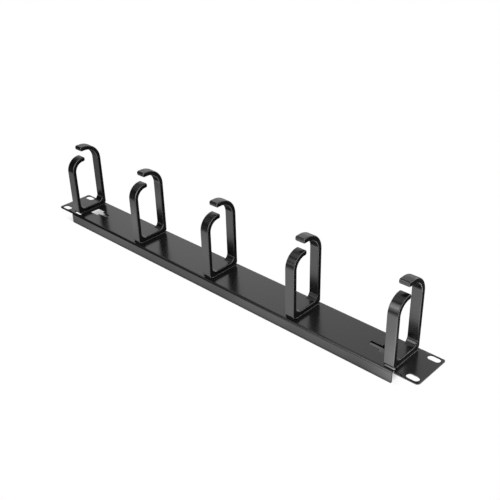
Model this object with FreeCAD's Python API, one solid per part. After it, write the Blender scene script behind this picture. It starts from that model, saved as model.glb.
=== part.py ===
import FreeCAD
import Part
import math
import os

# Rack cable management panel, one rack unit high, lying on its two return flanges.
# X runs along the panel, Y across it (front is -Y) and +Z is the way the cable rings stand.
# The origin is the middle of the four rack slots, on the back face of the two ears.
# All sizes are in millimetres.

# Folded steel panel; its length follows from the rack slots
panel_height = 43.4
ear_height = 42.2
sheet = 1.2
flange_depth = 11.8
bend_inside_r = 1.2
ear_length = 23.7
ear_corner_r = 3.2
relief_width = 0.8
relief_past_bend = 0.4

# Rack slots in the ears
rack_pitch_x = 465.1
rack_pitch_y = 31.75
rack_slot_length = 11.8
rack_slot_width = 6.5
rack_slot_to_end = 8.45

# Keyhole beside each end ring, with its narrow neck towards the middle of the panel
keyhole_from_ring = 14.0
keyhole_length = 12.4
keyhole_width = 11.4
keyhole_corner_r = 1.5
keyhole_neck_length = 11.5
keyhole_neck_width = 5.0
keyhole_neck_corner_r = 0.8

# Moulded cable rings: a flat band with rounded edges, bent to a D that stays open at the front
ring_count = 5
end_ring_from_ear = 6.3
ring_band_width = 10.2
ring_band = 4.4
ring_hook_band = 4.8
ring_base_band = 4.6
ring_edge_r = 0.9
ring_depth = 38.4
ring_height = 77.0
ring_top_bend_r = 19.0
ring_top_reach = 25.0
front_arm_height = 65.2
front_arm_bend_r = 15.0
front_arm_reach = 17.6
ring_tip_r = 1.8
ring_inside_corner_r = 6.0
ring_outside_corner_r = 3.0

# Ledge that the ring stands on, a little wider than the band
ledge_height = 1.4
ledge_side = 0.8
ledge_length = 33.0
ledge_corner_r = 1.2
ledge_edge_r = 0.5
base_sunk_in_ledge = 0.3

# Two snap feet under each ring, and the holes in the panel that they grip
foot_spacing = 18.0
foot_thickness = 2.6
foot_width = 6.0
foot_barb = 1.4
foot_barb_height = 2.4
foot_fit = 0.15
foot_hole_length = 9.4
foot_hole_width = 10.6
foot_hole_corner_r = 0.8

# Places that follow from the sizes above
half_length = rack_pitch_x / 2 + rack_slot_to_end
half_height = panel_height / 2
ear_half_height = ear_height / 2
bend_outside_r = bend_inside_r + sheet
ear_start = half_length - ear_length
flange_end = ear_start - relief_width
flange_bottom = sheet - flange_depth
relief_edge = half_height - bend_outside_r - relief_past_bend
face = sheet
end_ring_x = ear_start - end_ring_from_ear
ring_pitch = 2 * end_ring_x / (ring_count - 1)
ring_xs = [i * ring_pitch - end_ring_x for i in range(ring_count)]
foot_inside = foot_spacing / 2


def vector(x, y, z):
    return FreeCAD.Vector(x, y, z)


def rounded_wire(corners, place):
    """Closed wire through corners (a, b, radius), each rounded by a tangent arc of its radius."""
    flat = [FreeCAD.Vector(a, b, 0) for a, b, _ in corners]
    spots = []
    for i, (_, _, radius) in enumerate(corners):
        here = flat[i]
        came = (here - flat[i - 1]).normalize()
        goes = (flat[(i + 1) % len(flat)] - here).normalize()
        if radius <= 0:
            spots.append((here, None, here))
            continue
        half_turn = came.getAngle(goes) / 2
        reach = radius * math.tan(half_turn)
        inward = (goes - came).normalize()
        middle = here + inward * (radius / math.cos(half_turn) - radius)
        spots.append((here - came * reach, middle, here + goes * reach))
    edges = []
    for i, (start, middle, end) in enumerate(spots):
        before = spots[i - 1][2]
        if before.distanceToPoint(start) > 1e-6:
            edges.append(Part.makeLine(place(before.x, before.y), place(start.x, start.y)))
        if middle is not None:
            points = [place(p.x, p.y) for p in (start, middle, end)]
            edges.append(Part.Arc(*points).toShape())
    return Part.Wire(edges)


def upright_prism(corners, bottom, height):
    """Solid of an outline in the XY plane, from the level bottom up by height."""
    wire = rounded_wire(corners, lambda x, y: vector(x, y, bottom))
    return Part.Face(wire).extrude(vector(0, 0, height))


def lengthwise_prism(corners, start, length):
    """Solid of an outline in the YZ plane, from x = start along X by length."""
    wire = rounded_wire(corners, lambda y, z: vector(start, y, z))
    return Part.Face(wire).extrude(vector(length, 0, 0))


def rectangle(x0, x1, y0, y1, radius):
    return [(x0, y0, radius), (x1, y0, radius), (x1, y1, radius), (x0, y1, radius)]


def through_sheet(corners):
    """Cutter for a hole of this outline, past both faces of the sheet."""
    return upright_prism(corners, -sheet, 3 * sheet)


def folded_channel():
    """Face of the panel with its two return flanges, between the ears."""
    section = [
        (-half_height, flange_bottom, 0),
        (-half_height, face, bend_outside_r),
        (half_height, face, bend_outside_r),
        (half_height, flange_bottom, 0),
        (half_height - sheet, flange_bottom, 0),
        (half_height - sheet, 0, bend_inside_r),
        (-half_height + sheet, 0, bend_inside_r),
        (-half_height + sheet, flange_bottom, 0),
    ]
    return lengthwise_prism(section, -flange_end, 2 * flange_end)


def neck(side):
    """Flat strip between the flanges' bend reliefs that joins the face to one ear."""
    return upright_prism(rectangle(*sorted((side * flange_end, side * ear_start)),
                                   -relief_edge, relief_edge, 0), 0, sheet)


def ear(side):
    """Flat ear at one end, with its two outer corners rounded; side is -1 or 1."""
    inner = side * ear_start
    outer = side * half_length
    outline = [
        (inner, -ear_half_height, 0),
        (outer, -ear_half_height, ear_corner_r),
        (outer, ear_half_height, ear_corner_r),
        (inner, ear_half_height, 0),
    ]
    return upright_prism(outline, 0, sheet)


def rack_slot(x, y):
    """Cutter for one slot in an ear, rounded at both ends, longer along X."""
    half = rack_slot_length / 2
    radius = rack_slot_width / 2
    bar = Part.makeBox(rack_slot_length - rack_slot_width, rack_slot_width, 3 * sheet,
                       vector(x - half + radius, y - radius, -sheet))
    ends = [Part.makeCylinder(radius, 3 * sheet, vector(x + end * (half - radius), y, -sheet))
            for end in (-1, 1)]
    return bar.multiFuse(ends)


def keyhole(side):
    """Cutters for the keyhole beside one end ring: its wide part and its neck."""
    middle = side * (end_ring_x - keyhole_from_ring)
    half = keyhole_length / 2
    wide = rectangle(middle - half, middle + half, -keyhole_width / 2, keyhole_width / 2,
                     keyhole_corner_r)
    neck_end = middle - side * (half + keyhole_neck_length)
    low, high = sorted((neck_end, middle))
    neck = rectangle(low, high, -keyhole_neck_width / 2, keyhole_neck_width / 2,
                     keyhole_neck_corner_r)
    return [through_sheet(wide), through_sheet(neck)]


def foot_hole(x, side):
    """Cutter for the hole that one snap foot passes through, open beyond the foot."""
    near = side * (foot_inside - foot_fit)
    far = side * (foot_inside - foot_fit + foot_hole_length)
    low, high = sorted((near, far))
    half = foot_hole_width / 2
    return through_sheet(rectangle(x - half, x + half, low, high, foot_hole_corner_r))


def panel():
    """One folded sheet: face, flanges, ears and every hole. Each ear keeps a back face of its
    own, because that is the area that bears on the rack's rail."""
    sheet_metal = folded_channel().multiFuse([neck(-1), neck(1), ear(-1), ear(1)])
    cutters = [rack_slot(i * rack_pitch_x / 2, j * rack_pitch_y / 2)
               for i in (-1, 1) for j in (-1, 1)]
    for side in (-1, 1):
        cutters.extend(keyhole(side))
    for x in ring_xs:
        cutters.extend(foot_hole(x, side) for side in (-1, 1))
    return sheet_metal.cut(cutters)


def ring_band_solid(x):
    """The bent band of one ring, with every long edge rounded."""
    back = ring_depth / 2
    front = -back
    bottom = face + ledge_height - base_sunk_in_ledge
    floor = bottom + ring_base_band
    top = face + ring_height
    front_top = face + front_arm_height
    top_tip = back - ring_top_reach
    front_tip = front + front_arm_reach
    outline = [
        (front, bottom, ring_outside_corner_r),
        (back, bottom, ring_outside_corner_r),
        (back, top, ring_top_bend_r),
        (top_tip, top, ring_tip_r),
        (top_tip, top - ring_hook_band, ring_tip_r),
        (back - ring_band, top - ring_hook_band, ring_top_bend_r - ring_band),
        (back - ring_band, floor, ring_inside_corner_r),
        (front + ring_band, floor, ring_inside_corner_r),
        (front + ring_band, front_top - ring_hook_band, front_arm_bend_r - ring_band),
        (front_tip, front_top - ring_hook_band, ring_tip_r),
        (front_tip, front_top, ring_tip_r),
        (front, front_top, front_arm_bend_r),
    ]
    half = ring_band_width / 2
    band = lengthwise_prism(outline, x - half, ring_band_width)
    rims = [edge for edge in band.Edges
            if edge.BoundBox.XLength < 1e-6 and edge.Length > 1e-6]
    return band.makeFillet(ring_edge_r, rims)


def ring_ledge(x):
    """Low ledge under the band, its top edge eased."""
    half_x = ring_band_width / 2 + ledge_side
    half_y = ledge_length / 2
    block = upright_prism(rectangle(x - half_x, x + half_x, -half_y, half_y, ledge_corner_r),
                          face, ledge_height)
    top = face + ledge_height
    rim = [edge for edge in block.Edges
           if abs(edge.BoundBox.ZMin - top) < 1e-6 and abs(edge.BoundBox.ZMax - top) < 1e-6]
    return block.makeFillet(ledge_edge_r, rim)


def snap_foot(x, side):
    """Foot through one panel hole, with a barb under the sheet that points to the middle."""
    barb_top = -foot_fit
    foot_bottom = barb_top - foot_barb_height
    outline = [
        (side * foot_inside, face + ledge_height / 2, 0),
        (side * (foot_inside + foot_thickness), face + ledge_height / 2, 0),
        (side * (foot_inside + foot_thickness), foot_bottom, 0),
        (side * foot_inside, foot_bottom, 0),
        (side * (foot_inside - foot_barb), barb_top, 0),
        (side * foot_inside, barb_top, 0),
    ]
    return lengthwise_prism(outline, x - foot_width / 2, foot_width)


def cable_ring(x):
    """One moulded ring: band, ledge and its two snap feet."""
    pieces = [ring_ledge(x), snap_foot(x, -1), snap_foot(x, 1)]
    return ring_band_solid(x).multiFuse(pieces).removeSplitter()


os.makedirs("parts", exist_ok=True)

panel().exportStep("parts/panel.step")
for number, ring_x in enumerate(ring_xs, start=1):
    cable_ring(ring_x).exportStep("parts/ring_%d.step" % number)
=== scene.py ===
# %% [markdown]
# # A rack cable management panel with five moulded rings
# The object is a black steel panel, one rack unit high, that screws to the front of a
# network rack. Five plastic rings stand on it, and cables are laid in through the open
# front of each ring. The CAD model already has every size and place. This lesson gives it
# the surfaces that an eye expects: a punched and folded sheet with soft coated edges, rings
# with moulded roundings, and two black finishes with their own grain and gloss, and a painted
# highlight along their edges.
# The imported model is loaded first, and its box is kept: some sizes below are read from it.
# Shapes are worked out in millimetres, as in the CAD model's source, and turned to metres
# when a mesh is made. Points nearer to each other than TINY count as one. The floor, the
# table of light, the lamps and the world are in metres.

# %% Load the imported model
import math

import bpy
import numpy as np
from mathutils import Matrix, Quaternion, Vector
from mathutils.geometry import delaunay_2d_cdt


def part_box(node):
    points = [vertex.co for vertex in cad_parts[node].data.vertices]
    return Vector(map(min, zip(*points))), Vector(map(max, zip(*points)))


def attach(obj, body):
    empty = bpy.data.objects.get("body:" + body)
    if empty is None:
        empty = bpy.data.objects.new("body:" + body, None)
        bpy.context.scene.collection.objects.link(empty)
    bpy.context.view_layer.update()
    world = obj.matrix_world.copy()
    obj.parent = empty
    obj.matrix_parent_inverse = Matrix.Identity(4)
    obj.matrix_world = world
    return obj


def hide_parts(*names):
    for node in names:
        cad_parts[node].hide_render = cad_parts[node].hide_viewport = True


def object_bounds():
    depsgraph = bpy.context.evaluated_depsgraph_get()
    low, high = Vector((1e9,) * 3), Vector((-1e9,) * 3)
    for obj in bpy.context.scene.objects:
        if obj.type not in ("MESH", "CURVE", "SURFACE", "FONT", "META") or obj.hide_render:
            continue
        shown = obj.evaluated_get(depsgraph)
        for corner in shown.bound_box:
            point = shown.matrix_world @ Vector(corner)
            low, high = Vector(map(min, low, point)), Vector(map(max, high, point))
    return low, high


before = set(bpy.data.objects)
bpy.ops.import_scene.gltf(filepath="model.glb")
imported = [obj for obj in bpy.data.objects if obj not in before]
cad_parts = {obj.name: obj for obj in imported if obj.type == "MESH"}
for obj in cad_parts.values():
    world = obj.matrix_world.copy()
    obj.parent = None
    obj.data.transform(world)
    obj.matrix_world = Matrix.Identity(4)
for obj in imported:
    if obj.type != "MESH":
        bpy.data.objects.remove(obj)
packed_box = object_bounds()
MM = 0.001
TINY = 1e-6
ring_nodes = sorted(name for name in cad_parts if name.startswith("ring"))
print("nodes:", sorted(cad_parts))
print("packed size in mm:", [round(side / MM, 1) for side in packed_box[1] - packed_box[0]])

# %% [markdown]
# ## Outlines with rounded corners
# Everything here is cut or moulded from an outline: the sheet, its holes, the D of a ring,
# the ledge under it. An outline could be drawn as a curve and converted, but then its
# normals are lost. Working it out with arrays keeps, for every point, the exact direction
# that faces out of the material. The next steps need that direction twice: to pull the
# outline in where an edge is rounded, and to shade the finished surface without facets.

# %% A rounded outline as two arrays
def rounded_outline(corners, steps):
    """Points and outward normals of a closed outline through rows of (a, b, radius).

    The corners run anticlockwise round material and clockwise round a hole. At a corner the
    normal n turns evenly, in as many steps as asked, from the run before to the run after.
    The point is centre + side * radius * n, with side 1 on a left turn, -1 on a right one.
    """
    corners = np.array(corners, float)
    here, radius = corners[:, :2], corners[:, 2:]
    came = here - np.roll(here, 1, axis=0)
    came /= np.linalg.norm(came, axis=1, keepdims=True)
    goes = np.roll(came, -1, axis=0)
    cross = came[:, 0] * goes[:, 1] - came[:, 1] * goes[:, 0]
    turn = np.arctan2(cross, (came * goes).sum(axis=1))
    normal = np.stack([came[:, 1], -came[:, 0]], axis=1)
    side = np.sign(turn)[:, None]
    start = here - came * radius * np.tan(np.abs(turn) / 2)[:, None]
    centre = start - side * radius * normal
    angle = turn[:, None] * np.linspace(0, 1, steps + 1)
    cosine, sine = np.cos(angle), np.sin(angle)
    normals = np.stack([normal[:, :1] * cosine - normal[:, 1:] * sine,
                        normal[:, :1] * sine + normal[:, 1:] * cosine], axis=2)
    points = centre[:, None] + (side * radius)[:, None] * normals
    points, normals = points.reshape(-1, 2), normals.reshape(-1, 2)
    apart = np.linalg.norm(points - np.roll(points, -1, axis=0), axis=1) > TINY
    return points[apart], normals[apart]


def rectangle(low_a, high_a, low_b, high_b, radius):
    """Corners of a rectangle round material, anticlockwise."""
    return [(low_a, low_b, radius), (high_a, low_b, radius),
            (high_a, high_b, radius), (low_a, high_b, radius)]


def hole(low_a, high_a, low_b, high_b, radius):
    """The same corners the other way round, because a hole has its material outside."""
    return rectangle(low_a, high_a, low_b, high_b, radius)[::-1]


test_points, test_normals = rounded_outline(rectangle(0, 20, 0, 10, 2), steps=4)
print("test outline:", len(test_points), "points")

# %% [markdown]
# ## A plate with eased edges
# A sheet with a coat of powder has no sharp edge, and neither has a moulded ring: the light
# line that runs along every edge in a photograph is the rounding. A Bevel modifier could
# make it, but it struggles where a hole is cut close to another edge. Here one edge profile,
# a quarter round above, a straight wall, and a quarter round below, is carried along each
# outline. The two flat sides are filled with triangles between the innermost rows.

# %% The profile of an eased edge
def edge_profile(low, high, ease_low, ease_high, steps):
    """Inset, level and normal of the edge, from the upper side down to the lower one.

    Above: inset = r (1 - sin a), level = high - r (1 - cos a). Below: the same, mirrored.
    """
    quarter = np.linspace(0, np.pi / 2, steps + 1)
    sine, cosine = np.sin(quarter), np.cos(quarter)
    inset = np.concatenate([ease_high * (1 - sine), ease_low * (1 - cosine)])
    level = np.concatenate([high - ease_high * (1 - cosine), low + ease_low * (1 - sine)])
    outward = np.concatenate([sine, cosine])
    upward = np.concatenate([cosine, -sine])
    return inset, level, outward, upward


print("test edge goes through levels", np.round(edge_profile(0, 1, 0.2, 0.2, steps=2)[1], 2))

# %% Triangles for the flat sides
def inside(spots, loops):
    """True for each spot that an odd number of outline edges pass on its right."""
    start = np.concatenate(loops)
    end = np.concatenate([np.roll(loop, -1, axis=0) for loop in loops])
    x, y = spots[:, :1], spots[:, 1:]
    spans = (start[:, 1] > y) != (end[:, 1] > y)
    rise = np.where(end[:, 1] == start[:, 1], 1, end[:, 1] - start[:, 1])
    crossing = start[:, 0] + (y - start[:, 1]) * (end[:, 0] - start[:, 0]) / rise
    return (spans & (crossing > x)).sum(axis=1) % 2 == 1


def filled(loops, fold_lines):
    """Triangles, anticlockwise, that fill the loops and keep an edge along each fold line.

    Delaunay triangles cover all that lies between the points. Those whose middle is outside
    the outline or in a hole are left out.
    """
    spots = np.concatenate(loops)
    edges = []
    starts = np.cumsum([0] + [len(loop) for loop in loops[:-1]])
    for start, loop in zip(starts, loops):
        along = start + np.arange(len(loop))
        edges.append(np.stack([along, np.roll(along, -1)], axis=1))
    folds = [np.flatnonzero(np.abs(spots[:, 1] - line) < TINY)[None] for line in fold_lines]
    rims = np.concatenate(edges + folds).tolist()
    _, _, found, sources, _, _ = delaunay_2d_cdt(
        [Vector(spot) for spot in spots.tolist()], rims, [], 0, TINY)
    triangles = np.array([source[0] for source in sources])[np.array(found)]
    return triangles[inside(spots[triangles].mean(axis=1), loops)]


print("test filling has", len(filled([test_points], ())), "triangles")

# %% A closed plate
# Painted highlight: share of the lighter edge colour along straight edges; bends get more.
STRAIGHT_RIM_HIGHLIGHT = 0.5


def plate(outlines, low, high, ease_low, ease_high, edge_steps, fold_lines=()):
    """Points, normals, faces and painted rim highlight of a closed plate between two levels.

    The edge surface is S(s, f) = P(s) - inset(f) n(s), at level(f), for each outline. The
    painted rim highlight is sin 2a, where a is how far the normal leans: 0 on flat sides, 1 in
    mid edge. Edges along either axis get the share set for straight edges. Round a bend, where
    n leans by b from the nearest axis, the rest comes in with sin 2b.
    """
    inset, level, outward, upward = edge_profile(low, high, ease_low, ease_high, edge_steps)
    rows = len(inset)
    points, normals, faces, count = [], [], [], 0
    for outline, normal in outlines:
        size = len(outline)
        flat = outline[:, None] - inset[None, :, None] * normal[:, None]
        tilt = outward[None, :, None] * normal[:, None]
        shape = (size, rows, 1)
        points.append(np.concatenate([flat, np.broadcast_to(level[:, None], shape)], axis=2))
        normals.append(np.concatenate([tilt, np.broadcast_to(upward[:, None], shape)], axis=2))
        here = count + np.arange(size)[:, None] * rows + np.arange(rows - 1)
        beside = np.roll(here, -1, axis=0)
        faces.append(np.stack([here, here + 1, beside + 1, beside], axis=2).reshape(-1, 4))
        count += size * rows
    triangles = filled([group[:, 0, :2] for group in points], fold_lines)
    points = np.concatenate([group.reshape(-1, 3) for group in points])
    normals = np.concatenate([group.reshape(-1, 3) for group in normals])
    faces = np.concatenate(faces).tolist()
    faces += (triangles * rows).tolist()
    faces += (triangles[:, ::-1] * rows + rows - 1).tolist()
    # Painted highlight: the colour is lightened in mid edge, where a rounding would catch light.
    level_part = np.hypot(normals[:, 0], normals[:, 1])
    bent = 2 * np.abs(normals[:, 0] * normals[:, 1]) / np.maximum(level_part ** 2, TINY)
    rim_highlight = 2 * np.abs(normals[:, 2]) * level_part
    rim_highlight *= STRAIGHT_RIM_HIGHLIGHT + (1 - STRAIGHT_RIM_HIGHLIGHT) * bent
    return points, normals, faces, rim_highlight


test_plate = plate([(test_points, test_normals)], 0, 1, 0.2, 0.2, edge_steps=3)
print("test plate:", len(test_plate[0]), "points and", len(test_plate[2]), "faces")

# %% [markdown]
# ## From arrays to an object
# A piece is put together from one or more closed shells. Its points are handed to the mesh
# in metres, in the place where the CAD model has them, and the object itself stays at the
# origin. The normals that were worked out with the shape are handed over too, so flat sides
# stay perfectly flat in a reflection and bends stay round with few faces. The painted rim
# highlight goes along as an attribute, and the finish reads it to paint the rounded edges
# lighter, most of all where an edge goes round a bend.

# %% Make an object that stands for a CAD node
def make_piece(name, shells, material, node):
    """Object for one CAD node, from shells of (points, normals, faces, rim highlight) in mm."""
    starts = np.cumsum([0] + [len(shell[0]) for shell in shells[:-1]])
    points = np.concatenate([shell[0] for shell in shells]) * MM
    normals = np.concatenate([shell[1] for shell in shells])
    rim_highlight = np.concatenate([shell[3] for shell in shells])
    faces = [[start + corner for corner in face]
             for start, shell in zip(starts.tolist(), shells) for face in shell[2]]
    mesh = bpy.data.meshes.new(name)
    mesh.from_pydata(points.tolist(), [], faces, shade_flat=False)
    mesh.normals_split_custom_set_from_vertices(normals.tolist())
    # The painted rim highlight is stored on the points, for the finish to read.
    painted_rim_highlight = mesh.attributes.new("painted_rim_highlight", "FLOAT", "POINT")
    painted_rim_highlight.data.foreach_set("value", rim_highlight.astype(np.float32))
    mesh.materials.append(material)
    piece = bpy.data.objects.new(name, mesh)
    bpy.context.scene.collection.objects.link(piece)
    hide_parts(node)
    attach(piece, "root")
    print(name, "has", len(points), "points and", len(faces), "faces")

# %% [markdown]
# ## One group of nodes for both blacks
# Powder coat and moulded nylon look alike from afar and differ up close. Baked powder flows
# into a soft orange peel, a millimetre or so from bump to bump. Moulded plastic copies the
# fine eroded grain of its mould, a few tenths of a millimetre across. Both also vary slowly
# in tone and gloss over some centimetres. Along the edges both get a painted highlight: their
# colour is lightened, unevenly, into thin light rims. The same group serves for both: it
# takes the grain size and the amounts, and gives back a colour, a roughness and a height. It
# reads object coordinates, so nothing slides when the piece is turned or exported.

# %% Helpers that add one node each
def math_node(tree, operation, *values):
    """Math node with its inputs linked from sockets or set to numbers; returns its output."""
    node = tree.nodes.new("ShaderNodeMath")
    node.operation = operation
    for socket, value in zip(node.inputs, values):
        if isinstance(value, bpy.types.NodeSocket):
            tree.links.new(value, socket)
        else:
            socket.default_value = value
    return node.outputs[0]


def noise_node(tree, where, scale, detail, roughness):
    """Noise texture on the given coordinates; returns its value from 0 to 1."""
    node = tree.nodes.new("ShaderNodeTexNoise")
    node.inputs["Detail"].default_value = detail
    node.inputs["Roughness"].default_value = roughness
    tree.links.new(where, node.inputs["Vector"])
    if isinstance(scale, bpy.types.NodeSocket):
        tree.links.new(scale, node.inputs["Scale"])
    else:
        node.inputs["Scale"].default_value = scale
    return node.outputs["Fac"]


def colour_mix_node(tree, factor, first, second):
    """Colour between two colour sockets, by a factor from 0 to 1; returns its output."""
    node = tree.nodes.new("ShaderNodeMix")
    node.data_type = "RGBA"
    tree.links.new(factor, node.inputs["Factor"])
    tree.links.new(first, node.inputs["A"])
    tree.links.new(second, node.inputs["B"])
    return node.outputs["Result"]


print("helpers made: math_node, noise_node, colour_mix_node")

# %% Build the shared finish group
def new_group(name, takes, gives):
    """Empty shader node group with named sockets, and its input and output nodes."""
    group = bpy.data.node_groups.new(name, "ShaderNodeTree")
    for socket, kind in takes:
        group.interface.new_socket(socket, in_out="INPUT", socket_type="NodeSocket" + kind)
    for socket, kind in gives:
        group.interface.new_socket(socket, in_out="OUTPUT", socket_type="NodeSocket" + kind)
    return group, group.nodes.new("NodeGroupInput"), group.nodes.new("NodeGroupOutput")


finish, taken, given = new_group(
    "fine_black_finish_and_rim_highlight",
    [("Position", "Vector"), ("Thin tone", "Color"), ("Full tone", "Color"),
     ("Painted rim highlight", "Float"), ("Painted rim highlight tone", "Color"), ("Gloss roughness", "Float"),
     ("Roughness spread", "Float"), ("Grain per metre", "Float")],
    [("Color", "Color"), ("Roughness", "Float"), ("Height", "Float")])
CLOUDS_PER_METRE = 22
CLOUD_SHARE, GRAIN_SHARE = 0.7, 0.3
# These shape the painted rim highlight: how narrow it is, and how much it varies.
RIM_HIGHLIGHT_SHARPNESS = 3.0
RIM_HIGHLIGHT_BY_CLOUD, RIM_HIGHLIGHT_LEAST = 1.2, 0.2

clouds = noise_node(finish, taken.outputs["Position"], CLOUDS_PER_METRE,
                    detail=3, roughness=0.5)
grain = noise_node(finish, taken.outputs["Position"], taken.outputs["Grain per metre"],
                   detail=2, roughness=0.45)
blotches = math_node(finish, "ADD", math_node(finish, "MULTIPLY", clouds, CLOUD_SHARE),
                     math_node(finish, "MULTIPLY", grain, GRAIN_SHARE))
tone = colour_mix_node(finish, blotches, taken.outputs["Thin tone"], taken.outputs["Full tone"])
# Painted highlight: the tone is lightened towards the rim tone along the rounded edges.
rim_highlight_peak = math_node(finish, "POWER", taken.outputs["Painted rim highlight"], RIM_HIGHLIGHT_SHARPNESS)
uneven = math_node(finish, "MULTIPLY_ADD", clouds, RIM_HIGHLIGHT_BY_CLOUD, RIM_HIGHLIGHT_LEAST)
tone_with_rim_highlight = colour_mix_node(finish, math_node(finish, "MULTIPLY", rim_highlight_peak, uneven), tone,
                       taken.outputs["Painted rim highlight tone"])
drift = math_node(finish, "MULTIPLY", math_node(finish, "SUBTRACT", clouds, 0.5),
                  taken.outputs["Roughness spread"])
finish.links.new(tone_with_rim_highlight, given.inputs["Color"])
finish.links.new(math_node(finish, "ADD", taken.outputs["Gloss roughness"], drift),
                 given.inputs["Roughness"])
finish.links.new(grain, given.inputs["Height"])
print("group", finish.name, "has", len(finish.nodes), "nodes")

# %% [markdown]
# ## Black powder coat and black moulded plastic
# Both finishes are dielectrics over a very dark colour: almost all that the eye sees is the
# gloss reflection, so the roughness and the bump do the work, and the base colour only keeps
# the shadows from closing up and carries the painted highlight on the edges. The coat is the
# smoother of the two and mirrors the rings softly. The plastic is a little duller, and its
# painted edge highlight is much lighter.

# %% Make the two materials
def grey(level):
    """Opaque grey of this level in each channel."""
    return level, level, level, 1


def black_finish(name, values, bump_distance):
    """Material whose colour, roughness and bump come from the shared finish group."""
    material = bpy.data.materials.new(name)
    material.use_nodes = True
    tree = material.node_tree
    shader = tree.nodes["Principled BSDF"]
    place = tree.nodes.new("ShaderNodeTexCoord")
    # This attribute node reads the painted rim highlight.
    painted_rim_highlight = tree.nodes.new("ShaderNodeAttribute")
    painted_rim_highlight.attribute_name = "painted_rim_highlight"
    group = tree.nodes.new("ShaderNodeGroup")
    group.node_tree = finish
    for socket, value in values.items():
        group.inputs[socket].default_value = value
    bump = tree.nodes.new("ShaderNodeBump")
    bump.inputs["Distance"].default_value = bump_distance
    bump.inputs["Strength"].default_value = 1.0
    tree.links.new(place.outputs["Object"], group.inputs["Position"])
    tree.links.new(painted_rim_highlight.outputs["Fac"], group.inputs["Painted rim highlight"])
    tree.links.new(group.outputs["Color"], shader.inputs["Base Color"])
    tree.links.new(group.outputs["Roughness"], shader.inputs["Roughness"])
    tree.links.new(group.outputs["Height"], bump.inputs["Height"])
    tree.links.new(bump.outputs["Normal"], shader.inputs["Normal"])
    shader.inputs["IOR"].default_value = 1.5
    print("material", name, "made")
    return material


# Each finish's rim tone is a painted highlight: a lighter colour put into the rounded edges.
powder_coat = black_finish(
    "black_powder_coat",
    {"Thin tone": grey(0.005), "Full tone": grey(0.007), "Painted rim highlight tone": grey(0.09),
     "Gloss roughness": 0.20, "Roughness spread": 0.06, "Grain per metre": 750},
    bump_distance=0.004 * MM)
moulded_plastic = black_finish(
    "black_moulded_plastic",
    {"Thin tone": grey(0.004), "Full tone": grey(0.007), "Painted rim highlight tone": grey(0.38),
     "Gloss roughness": 0.22, "Roughness spread": 0.06, "Grain per metre": 2600},
    bump_distance=0.002 * MM)

# %% [markdown]
# ## The panel, punched flat and then folded
# The real panel starts as a flat blank: the press punches its slots, keyholes and foot
# holes, and a brake folds the two long sides down. The same order is the easy one here. The
# blank is a plate in the coordinates (u, v, w): along, across, and through the sheet. The
# holes keep away from the bends, so folding only has to turn the strips beyond the bend
# line, and the fold lines give the flat triangles a place to bend. Both ends are alike, so
# only the right one is drawn, and a half turn, (u, v) to (-u, -v), gives the left one.

# %% Sizes of the blank
sheet = 1.2
bend_inside = 1.2
bend_length = math.radians(90) * (bend_inside + sheet / 2)
half_length, half_height, _ = packed_box[1] / MM
flange_bottom = packed_box[0].z / MM
bend_line = half_height - bend_inside - sheet
flange_edge = bend_line + bend_length - bend_inside - flange_bottom
flange_corner = 1.0
ear_half_height = 21.1
ear_start = 217.3
ear_corner = 3.2
ear_inner_corner = 0.5
relief_width = 0.8
relief_edge = 18.9
relief_corner = 0.3
flange_end = ear_start - relief_width
print("the blank is", round(2 * half_length, 1), "by", round(2 * flange_edge, 1), "mm")

# %% Outline of the blank
BEND_STEPS = 8
bend_places = bend_line + bend_length * np.linspace(0, 1, BEND_STEPS + 1)
right_side = np.array(
    [(flange_end, -flange_edge, flange_corner)]
    + [(flange_end, -place, 0) for place in bend_places[::-1]]
    + [(flange_end, -relief_edge, relief_corner), (ear_start, -relief_edge, relief_corner),
       (ear_start, -ear_half_height, ear_inner_corner),
       (half_length, -ear_half_height, ear_corner), (half_length, ear_half_height, ear_corner),
       (ear_start, ear_half_height, ear_inner_corner),
       (ear_start, relief_edge, relief_corner), (flange_end, relief_edge, relief_corner)]
    + [(flange_end, place, 0) for place in bend_places]
    + [(flange_end, flange_edge, flange_corner)])
half_turn = np.array((-1, -1, 1))
blank_outline = np.concatenate([right_side, right_side * half_turn])
print("the blank's outline has", len(blank_outline), "corners and places on the bends")

# %% Holes of the blank
slot_x, slot_y = 465.1 / 2, 31.75 / 2
slot_half_length, slot_radius = 5.9, 3.25
foot_hole_near, foot_hole_far = 8.85, 18.25
foot_hole_half_width, foot_hole_corner = 5.3, 0.8
wide_start, wide_end, wide_half, wide_corner = 190.8, 203.2, 5.7, 1.5
neck_end, neck_half, neck_corner, neck_root = 179.3, 2.5, 0.8, 0.4


def rack_slot(x, y):
    """Slot for a rack screw, round at both ends."""
    return hole(x - slot_half_length, x + slot_half_length, y - slot_radius, y + slot_radius,
                slot_radius)


def foot_hole(x, side):
    """Hole for one snap foot of the ring at x, on the back (side 1) or the front (-1)."""
    low, high = sorted((side * foot_hole_near, side * foot_hole_far))
    return hole(x - foot_hole_half_width, x + foot_hole_half_width, low, high, foot_hole_corner)


keyhole = [(wide_end, -wide_half, wide_corner), (wide_start, -wide_half, wide_corner),
           (wide_start, -neck_half, neck_root), (neck_end, -neck_half, neck_corner),
           (neck_end, neck_half, neck_corner), (wide_start, neck_half, neck_root),
           (wide_start, wide_half, wide_corner), (wide_end, wide_half, wide_corner)]
ring_xs = [sum(corner.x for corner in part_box(node)) / 2 / MM for node in ring_nodes]
holes = [rack_slot(end * slot_x, side * slot_y) for end in (-1, 1) for side in (-1, 1)]
holes += [foot_hole(x, side) for x in ring_xs for side in (-1, 1)]
holes += [keyhole, np.array(keyhole) * half_turn]
print("the blank has", len(holes), "holes, rings stand at x =", np.round(ring_xs, 1))

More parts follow.
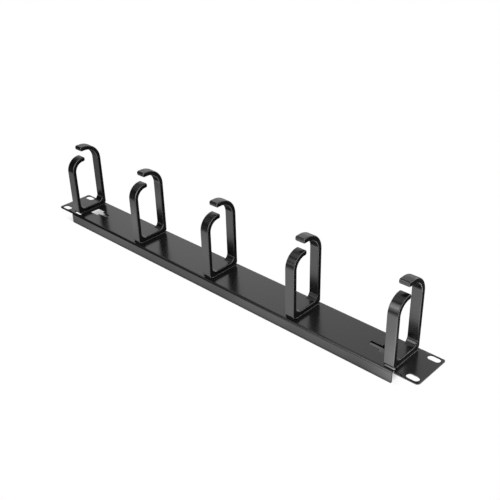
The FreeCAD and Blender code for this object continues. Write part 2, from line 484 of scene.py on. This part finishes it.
# %% Fold the blank and make the panel
def folded(points, normals):
    """Places and normals of the blank (u, v, w) once its long sides are bent down.

    Past the bend line, theta grows from 0 to 90 degrees over the bend's length, and the
    sheet turns about the bend's centre: y = line + (r + w) sin theta,
    z = (r + w) cos theta - r, less the straight run beyond the bend.
    """
    u, v, w = points.T
    side = np.sign(v)
    past = np.abs(v) - bend_line
    theta = np.clip(past / bend_length, 0, 1) * np.pi / 2
    cosine, sine = np.cos(theta), np.sin(theta)
    run = np.maximum(past - bend_length, 0)
    y = np.minimum(np.abs(v), bend_line) + (bend_inside + w) * sine
    z = (bend_inside + w) * cosine - bend_inside - run
    out = normals[:, 1] * side
    turned = np.stack([normals[:, 0], side * (out * cosine + normals[:, 2] * sine),
                       normals[:, 2] * cosine - out * sine], axis=1)
    return np.stack([u, side * y, z], axis=1), turned


CORNER_STEPS = 8
EDGE_STEPS = 4
coated_edge = 0.25
outlines = [rounded_outline(corners, CORNER_STEPS) for corners in [blank_outline] + holes]
fold_lines = np.concatenate([bend_places, -bend_places])
blank_points, blank_normals, blank_faces, blank_rim_highlight = plate(
    outlines, 0, sheet, coated_edge, coated_edge, EDGE_STEPS, fold_lines)
panel_points, panel_normals = folded(blank_points, blank_normals)
make_piece("folded_panel", [(panel_points, panel_normals, blank_faces, blank_rim_highlight)],
           powder_coat, "panel")
print("folded size in mm:", np.round(np.ptp(panel_points, axis=0), 2))

# %% [markdown]
# ## The moulded cable rings
# A ring is one moulding: a flat band bent to a D that stays open at the front, on a low
# ledge, with two snap feet that grip the sheet from below. The band could be a profile swept
# along a bent path, but its hooks are thicker than its arms and its inner corners are rounder
# than the outer ones. Seen from the side it is simply an outline, so it is a plate again:
# the outline of the D in (y, z), as thick as the band is wide, with its edges well rounded.

# %% Sizes of a ring's band
band_half_width, band_edge = 5.1, 0.9
back_y, front_y = 19.2, -19.2
arm, hook, base = 4.4, 4.8, 4.6
face_z, ledge_top = sheet, 2.6
band_bottom = ledge_top - 0.3
top_z, front_top_z = packed_box[1].z / MM, 66.4
top_tip_y, front_tip_y = -5.8, -1.6
top_bend, front_bend, tip_round = 19.0, 15.0, 1.8
inner_corner, outer_corner = 6.0, 3.0
d_outline = [
    (front_y, band_bottom, outer_corner), (back_y, band_bottom, outer_corner),
    (back_y, top_z, top_bend), (top_tip_y, top_z, tip_round),
    (top_tip_y, top_z - hook, tip_round), (back_y - arm, top_z - hook, top_bend - arm),
    (back_y - arm, band_bottom + base, inner_corner),
    (front_y + arm, band_bottom + base, inner_corner),
    (front_y + arm, front_top_z - hook, front_bend - arm),
    (front_tip_y, front_top_z - hook, tip_round), (front_tip_y, front_top_z, tip_round),
    (front_y, front_top_z, front_bend)]
print("the D has", len(d_outline), "corners and is", round(top_z - face_z, 1), "mm high")

# %% Sizes of a ring's ledge and snap feet
ledge_half_width, ledge_half_length = band_half_width + 0.8, 16.5
ledge_corner, ledge_top_edge, ledge_seat_edge = 1.2, 0.5, 0.05
foot_near, foot_far, barb_tip = 9.0, 11.6, 7.6
foot_root, barb_top, foot_bottom = face_z + 0.7, -0.15, -2.55
foot_half_width, foot_edge = 3.0, 0.09
print("a foot is", round(foot_root - foot_bottom, 2), "mm long with its root in the ledge")

# %% Band, ledge and snap feet of one ring
def along_x(shell, x):
    """Turn a plate from (a, b, level) to (x + level, a, b); the order of axes keeps its hand."""
    points, normals, faces, rim_highlight = shell
    return np.roll(points, 1, axis=1) + (x, 0, 0), np.roll(normals, 1, axis=1), faces, rim_highlight


def ring_band(x):
    """Band of the ring at x: a plate of the D's outline, as thick as the band is wide."""
    outline = rounded_outline(d_outline, steps=16)
    return along_x(plate([outline], -band_half_width, band_half_width,
                         band_edge, band_edge, edge_steps=6), x)


def ring_ledge(x):
    """Ledge of the ring at x: a rounded rectangle from the panel's face up to ledge_top."""
    corners = rectangle(x - ledge_half_width, x + ledge_half_width,
                        -ledge_half_length, ledge_half_length, ledge_corner)
    return plate([rounded_outline(corners, steps=6)], face_z, ledge_top,
                 ledge_seat_edge, ledge_top_edge, edge_steps=4)


def snap_foot(x, side):
    """Foot through one hole; its barb points to the middle of the panel, under the sheet."""
    corners = [(barb_tip, barb_top, 0.25), (foot_near, foot_bottom, 0.5),
               (foot_far, foot_bottom, 0.5), (foot_far, foot_root, 0.25),
               (foot_near, foot_root, 0.25), (foot_near, barb_top, 0.1)]
    if side < 0:
        corners = [(-a, b, radius) for a, b, radius in corners[::-1]]
    return along_x(plate([rounded_outline(corners, steps=4)], -foot_half_width,
                         foot_half_width, foot_edge, foot_edge, edge_steps=2), x)


for node, x in zip(ring_nodes, ring_xs):
    shells = [ring_band(x), ring_ledge(x), snap_foot(x, -1), snap_foot(x, 1)]
    make_piece("cable_" + node, shells, moulded_plastic, node)

# %% [markdown]
# ## A white floor that only the camera sees
# The photograph shows the panel on plain white, with hardly a shadow. A white floor would
# also light the object from below and wash out its black, and the photograph shows no such
# light. So the floor is a plane that only camera rays meet, and it glows by itself. Under
# the panel its glow is turned down into a painted shade, darkest towards the middle and
# lighter near the open ends, as a real floor is shaded under a low channel: that is what
# shows through the holes.

# %% How dark the floor gets along the panel
FLOOR_GLOW = 1.0
# Painted shade: glow levels along the panel, nearly black mid-way and lighter near the ends.
painted_shade_under_panel = [(-0.236, FLOOR_GLOW), (-0.222, 0.80), (-0.216, 0.55), (-0.207, 0.48),
               (-0.204, 0.12), (-0.193, 0.12), (-0.165, 0.01), (0.120, 0.01),
               (0.160, 0.08), (0.178, 0.14), (0.190, 0.08), (0.205, 0.20),
               (0.212, 0.60), (0.217, 0.95), (0.224, FLOOR_GLOW)]


def ramp_node(tree, factor, low, high, stops):
    """Soft ramp of grey levels through (value, level) stops, between low and high."""
    spread = tree.nodes.new("ShaderNodeMapRange")
    spread.inputs["From Min"].default_value = low
    spread.inputs["From Max"].default_value = high
    ramp = tree.nodes.new("ShaderNodeValToRGB")
    ramp.color_ramp.interpolation = "EASE"
    while len(ramp.color_ramp.elements) < len(stops):
        ramp.color_ramp.elements.new(1)
    for element, (value, level) in zip(ramp.color_ramp.elements, stops):
        element.position = (value - low) / (high - low)
        element.color = grey(level)
    tree.links.new(factor, spread.inputs["Value"])
    tree.links.new(spread.outputs["Result"], ramp.inputs["Fac"])
    return ramp.outputs["Color"]


print("floor levels under the panel:", [level for _, level in painted_shade_under_panel])

# %% The white that only the camera sees
# Painted shade beside the back flange, between the two ends.
SHADE_HALF_LENGTH, SHADE_FROM, SHADE_TO = 0.2045, 0.0128, 0.0140
COVERED_HALF_WIDTH = packed_box[1].y - 1 * MM


def painted_shade_level(tree, along, across):
    """Painted shade under the panel: the ramp along x, and nearly black beside the back flange.
    """
    under = ramp_node(tree, along, packed_box[0].x, packed_box[1].x, painted_shade_under_panel)
    between_ends = math_node(tree, "LESS_THAN", math_node(tree, "ABSOLUTE", along),
                             SHADE_HALF_LENGTH)
    beside = tree.nodes.new("ShaderNodeMapRange")
    beside.inputs["From Min"].default_value = SHADE_FROM
    beside.inputs["From Max"].default_value = SHADE_TO
    tree.links.new(across, beside.inputs["Value"])
    shade = math_node(tree, "MULTIPLY", beside.outputs["Result"], between_ends)
    return math_node(tree, "MULTIPLY", under, math_node(tree, "SUBTRACT", 1.0, shade))


def floor_material():
    """White that glows by itself, with painted shade under the panel, and is clear from below.
    """
    material = bpy.data.materials.new("white_floor")
    material.use_nodes = True
    tree = material.node_tree
    tree.nodes.clear()
    place = tree.nodes.new("ShaderNodeNewGeometry")
    axes = tree.nodes.new("ShaderNodeSeparateXYZ")
    tree.links.new(place.outputs["Position"], axes.inputs[0])
    covered = math_node(tree, "LESS_THAN", math_node(tree, "ABSOLUTE", axes.outputs["Y"]),
                        COVERED_HALF_WIDTH)
    level = tree.nodes.new("ShaderNodeMix")
    level.inputs["A"].default_value = FLOOR_GLOW
    tree.links.new(covered, level.inputs["Factor"])
    tree.links.new(painted_shade_level(tree, axes.outputs["X"], axes.outputs["Y"]),
                   level.inputs["B"])
    glow = tree.nodes.new("ShaderNodeEmission")
    clear = tree.nodes.new("ShaderNodeBsdfTransparent")
    pick = tree.nodes.new("ShaderNodeMixShader")
    out = tree.nodes.new("ShaderNodeOutputMaterial")
    tree.links.new(level.outputs["Result"], glow.inputs["Strength"])
    tree.links.new(place.outputs["Backfacing"], pick.inputs["Fac"])
    tree.links.new(glow.outputs[0], pick.inputs[1])
    tree.links.new(clear.outputs[0], pick.inputs[2])
    tree.links.new(pick.outputs[0], out.inputs["Surface"])
    return material


white_floor = floor_material()
print("material", white_floor.name, "has", len(white_floor.node_tree.nodes), "nodes")

# %% Lay the floor
BELOW_FLANGES = 0.1 * MM
FLOOR_HALF = 8


def level_grid(name, low, high, steps, material):
    """Stage plane just under the flanges: P(s, t) = low + (s, t) (high - low), s and t even."""
    x, y = np.meshgrid(np.linspace(low[0], high[0], steps[0] + 1),
                       np.linspace(low[1], high[1], steps[1] + 1))
    level = np.full_like(x, packed_box[0].z - BELOW_FLANGES)
    places = np.stack([x, y, level], axis=2).reshape(-1, 3)
    cell = np.arange(x.size).reshape(x.shape)
    cells = np.stack([cell[:-1, :-1], cell[:-1, 1:], cell[1:, 1:], cell[1:, :-1]], axis=2)
    mesh = bpy.data.meshes.new(name)
    mesh.from_pydata(places.tolist(), [], cells.reshape(-1, 4).tolist())
    mesh.materials.append(material)
    plane = bpy.data.objects.new(name, mesh)
    bpy.context.scene.collection.objects.link(plane)
    print(name, "is", high[0] - low[0], "by", high[1] - low[1], "m")
    return plane


floor = level_grid("floor", (-FLOOR_HALF, -FLOOR_HALF), (FLOOR_HALF, FLOOR_HALF), (1, 1),
                   white_floor)
floor.visible_diffuse = False
floor.visible_glossy = False
floor.visible_transmission = False
floor.visible_shadow = False

# %% [markdown]
# ## A studio for a black object
# Black paint shows what it reflects, so every grey in the picture is a place in the studio.
# The face of the panel and the tops of the rings mirror what is behind them, and the front
# arms and the flange mirror the table before them. The set is therefore a wall of soft light
# behind, pools of light on a dark table in front, and a few softboxes and lamps for the bends
# of the rings, which mirror a whole arc of the room from the table to the ceiling. The pools
# could be many lamps. Here they are one stage plane that the camera doesn't see, with its
# brightness worked out point by point.

# %% Pools of light on a dark table
# Each row has its y, its spread, and its pools as (x, brightness), from the panel outwards.
pool_rows = [
    (-0.030, 0.012, [(-0.250, 0.65), (0.040, 0.35), (0.060, 0.30), (0.085, 0.25),
                     (0.135, 0.55), (0.160, 0.55)]),
    (-0.040, 0.022, [(-0.260, 0.35), (0.060, 0.20), (0.100, 0.80)]),
    (-0.050, 0.012, [(0.190, 0.45)]),
    (-0.050, 0.020, [(0.222, 3.00)]),
    (-0.055, 0.018, [(-0.255, 0.20), (0.060, 0.45), (0.165, 0.50)]),
    (-0.060, 0.045, [(-0.325, 0.35), (-0.195, 0.95), (-0.130, 0.90), (-0.065, 0.60),
                     (0.000, 1.15), (0.130, 0.70), (0.260, 2.20), (0.325, 3.10)]),
    (-0.085, 0.022, [(-0.275, 0.30), (-0.170, 0.50), (-0.065, 0.40)]),
    (-0.120, 0.045, [(-0.325, 0.80), (0.065, 1.20), (0.195, 2.40)]),
    (-0.190, 0.060, [(-0.150, 0.45), (-0.050, 1.00), (0.050, 0.95), (0.150, 0.85),
                     (0.250, 0.45)])]
light_pools = np.array([(x, y, spread, brightness) for y, spread, pools in pool_rows
                        for x, brightness in pools])
print("the table has", len(light_pools), "pools of light in", len(pool_rows), "rows")

# %% How bright each place on the table is
BACK_STRIP_Y, BACK_STRIP_SPREAD, BACK_STRIP_LIGHT = 0.22, 0.05, 0.4


def pool_light(places, pools):
    """Brightness at each place: the sum over pools of b exp(-distance^2 / (2 spread^2)).

    A weak strip runs along the back, b exp(-(y - y0)^2 / (2 spread^2)), and the panel keeps
    the light off the table between its two flanges.
    """
    apart = places[:, None, :2] - pools[None, :, :2]
    square = (apart ** 2).sum(axis=2)
    light = (pools[:, 3] * np.exp(-square / (2 * pools[:, 2] ** 2))).sum(axis=1)
    off_strip = (places[:, 1] - BACK_STRIP_Y) / BACK_STRIP_SPREAD
    light += BACK_STRIP_LIGHT * np.exp(-off_strip ** 2 / 2)
    low, high = packed_box
    covered = ((places[:, 0] > low.x) & (places[:, 0] < high.x)
               & (places[:, 1] > low.y) & (places[:, 1] < high.y))
    return np.where(covered, 0, light)


test_places = np.array([(0, 0, 0), (0, -0.1, 0)])
print("light under the panel and 0.1 m before it:", pool_light(test_places, light_pools))

# %% The table that glows
def pool_material():
    """Emission as strong as the mesh's own attribute says, and black where it says nothing."""
    material = bpy.data.materials.new("table_light")
    material.use_nodes = True
    tree = material.node_tree
    tree.nodes.clear()
    strength = tree.nodes.new("ShaderNodeAttribute")
    strength.attribute_name = "pool_light"
    glow = tree.nodes.new("ShaderNodeEmission")
    out = tree.nodes.new("ShaderNodeOutputMaterial")
    tree.links.new(strength.outputs["Fac"], glow.inputs["Strength"])
    tree.links.new(glow.outputs[0], out.inputs["Surface"])
    return material


table = level_grid("dark_table", low=(-0.62, -0.45), high=(0.62, 0.42), steps=(124, 174),
                   material=pool_material())
table.visible_camera = False
table_places = np.empty(len(table.data.vertices) * 3, np.float32)
table.data.vertices.foreach_get("co", table_places)
pool_levels = pool_light(table_places.reshape(-1, 3), light_pools)
pool_attribute = table.data.attributes.new("pool_light", "FLOAT", "POINT")
pool_attribute.data.foreach_set("value", pool_levels.astype(np.float32))
print("brightest place on the table:", round(float(pool_levels.max()), 1))

# %% [markdown]
# ## A wall of light, painted on the world
# Far lights need no lamps: the world itself can be bright in some directions and dark in
# others. An image of a studio would do it, but a few soft round lights, each with a
# direction and a brightness, are easier to read and to move. The first two stand behind the
# panel, and its face mirrors them. The camera sees plain white instead, through a mix
# that the light path steers, because the photograph has a white ground.

# %% Directions and brightness of the world's lights
wall_lights = [(126, 21, 1.05), (146, 32, 0.70), (81, 47, 1.50), (153, 75, 0.95),
               (101, 64, 0.60), (118, -4, 0.45), (-104, -2, 0.60), (-124, -12, 0.20)]
WALL_SHARPNESS = 16.8
BASE_LIGHT = 0.03


def direction(azimuth, elevation):
    """Unit vector from azimuth, counted from +X, and elevation, both in degrees."""
    turn, rise = math.radians(azimuth), math.radians(elevation)
    return Vector((math.cos(rise) * math.cos(turn), math.cos(rise) * math.sin(turn),
                   math.sin(rise)))


brightest = max(wall_lights, key=lambda light: light[2])
print("the brightest one stands towards", direction(*brightest[:2]))

# %% Paint the world
def paint_world(lights, base_light):
    """World whose light in direction d is base + sum of b exp(sharpness (d . centre - 1))."""
    world = bpy.data.worlds.new("soft_studio")
    world.use_nodes = True
    tree = world.node_tree
    tree.nodes.clear()
    place = tree.nodes.new("ShaderNodeTexCoord")
    total = base_light
    for azimuth, elevation, brightness in lights:
        dot = tree.nodes.new("ShaderNodeVectorMath")
        dot.operation = "DOT_PRODUCT"
        tree.links.new(place.outputs["Generated"], dot.inputs[0])
        dot.inputs[1].default_value = direction(azimuth, elevation)
        fall = math_node(tree, "MULTIPLY_ADD", dot.outputs["Value"], WALL_SHARPNESS,
                         -WALL_SHARPNESS)
        total = math_node(tree, "MULTIPLY_ADD", math_node(tree, "EXPONENT", fall),
                          brightness, total)
    seen = tree.nodes.new("ShaderNodeLightPath")
    light = tree.nodes.new("ShaderNodeBackground")
    white = tree.nodes.new("ShaderNodeBackground")
    pick = tree.nodes.new("ShaderNodeMixShader")
    out = tree.nodes.new("ShaderNodeOutputWorld")
    tree.links.new(total, light.inputs["Strength"])
    tree.links.new(seen.outputs["Is Camera Ray"], pick.inputs["Fac"])
    tree.links.new(light.outputs[0], pick.inputs[1])
    tree.links.new(white.outputs[0], pick.inputs[2])
    tree.links.new(pick.outputs[0], out.inputs["Surface"])
    white.inputs["Color"].default_value = grey(1)
    light.inputs["Color"].default_value = grey(1)
    bpy.context.scene.world = world


paint_world(wall_lights, BASE_LIGHT)
print("world has", len(wall_lights), "soft lights")

# %% [markdown]
# ## Softboxes and lamps for the bends
# A bend mirrors a thin slice of everything round it, and shows each light there as a short
# highlight. A light on the world looks the same from every ring, but a near one doesn't, and
# in the photograph each ring has highlights of its own. So these are real lamps. Large
# softboxes give the soft wide highlights, and small glowing balls the narrow ones. Each lamp
# is given by its radiance, which is how bright it looks, and the power that Blender asks for
# follows from its area. So a lamp can grow without getting brighter in a reflection.

# %% Softboxes and small soft lamps
def softbox(name, place, towards, width, height, radiance):
    """Elliptical area light turned to a point; its power is radiance * pi * area."""
    data = bpy.data.lights.new(name, "AREA")
    data.shape = "ELLIPSE"
    data.size, data.size_y = width, height
    data.energy = radiance * math.pi * (math.pi * width * height / 4)
    lamp = bpy.data.objects.new(name, data)
    lamp.location = place
    lamp.rotation_euler = (Vector(towards) - lamp.location).to_track_quat("-Z", "Y").to_euler()
    bpy.context.scene.collection.objects.link(lamp)
    print(name, "gives", round(data.energy, 2), "W")


def ball_lamp(name, place, radius, radiance):
    """Glowing ball; its power is radiance * 4 pi^2 radius^2."""
    data = bpy.data.lights.new(name, "POINT")
    data.shadow_soft_size = radius
    data.energy = radiance * 4 * math.pi ** 2 * radius ** 2
    lamp = bpy.data.objects.new(name, data)
    lamp.location = place
    bpy.context.scene.collection.objects.link(lamp)
    print(name, "gives", round(data.energy, 2), "W")


right_rings = (0.15, 0, 0.06)
softbox("front_softbox", (0.10, -0.30, 0.175), (0.13, 0, 0.04), 0.12, 0.27, 3.2)
softbox("high_softbox", (-0.105, -0.541, 0.431), (0, 0, 0), 0.35, 0.35, 2.5)
softbox("right_softbox", (0.615, 0.300, 0.146), (0, 0, 0), 0.35, 0.35, 2.5)
ball_lamp("left_lamp_high", (-0.05, -0.50, 0.26), 0.05, 3.0)
ball_lamp("left_lamp_low", (-0.20, -0.50, 0.16), 0.05, 2.3)
ball_lamp("right_lamp", (0.45, 0.25, 0.12), 0.05, 2.6)
softbox("left_softbox", (-0.10, -0.26, 0.25), right_rings, 0.22, 0.14, 0.75)
softbox("far_left_softbox", (-0.25, -0.10, 0.25), (-0.06, 0, 0.06), 0.24, 0.16, 0.4)
softbox("overhead_softbox", (-0.02, -0.10, 0.36), right_rings, 0.20, 0.20, 1.0)
softbox("back_softbox", (0.266, 0.570, 0.307), (0.10, 0, 0.06), 0.30, 0.30, 4.0)

# %% [markdown]
# ## The camera
# The photograph was taken from the front right, from above and fairly near, which shows in
# how the panel narrows to the left. The camera's place, turn and lens were worked out from
# some forty corners of the panel and the rings, whose places the CAD model gives. Setting it
# by eye would be quicker, but then no edge would fall on its own edge in the photograph.
# The camera looks along a direction and is then rolled a little about it.

# %% Camera where the photographer stood
camera_place = Vector((479.36, -457.68, 401.81)) * MM
view_direction = Vector((-0.598618, 0.627652, -0.497704))
roll = math.radians(1.441)
camera_data = bpy.data.cameras.new("camera")
camera_data.lens = 56.372
camera_data.sensor_width = 36
camera_data.shift_x, camera_data.shift_y = -0.0028, 0.0025
camera = bpy.data.objects.new("camera", camera_data)
bpy.context.scene.collection.objects.link(camera)
level_view = view_direction.to_track_quat("-Z", "Y")
camera.rotation_mode = "QUATERNION"
camera.rotation_quaternion = level_view @ Quaternion((0, 0, 1), -roll)
camera.location = camera_place
bpy.context.scene.camera = camera
bpy.context.scene.view_settings.view_transform = "Standard"
print("camera at", [round(value / MM, 1) for value in camera.location], "mm")
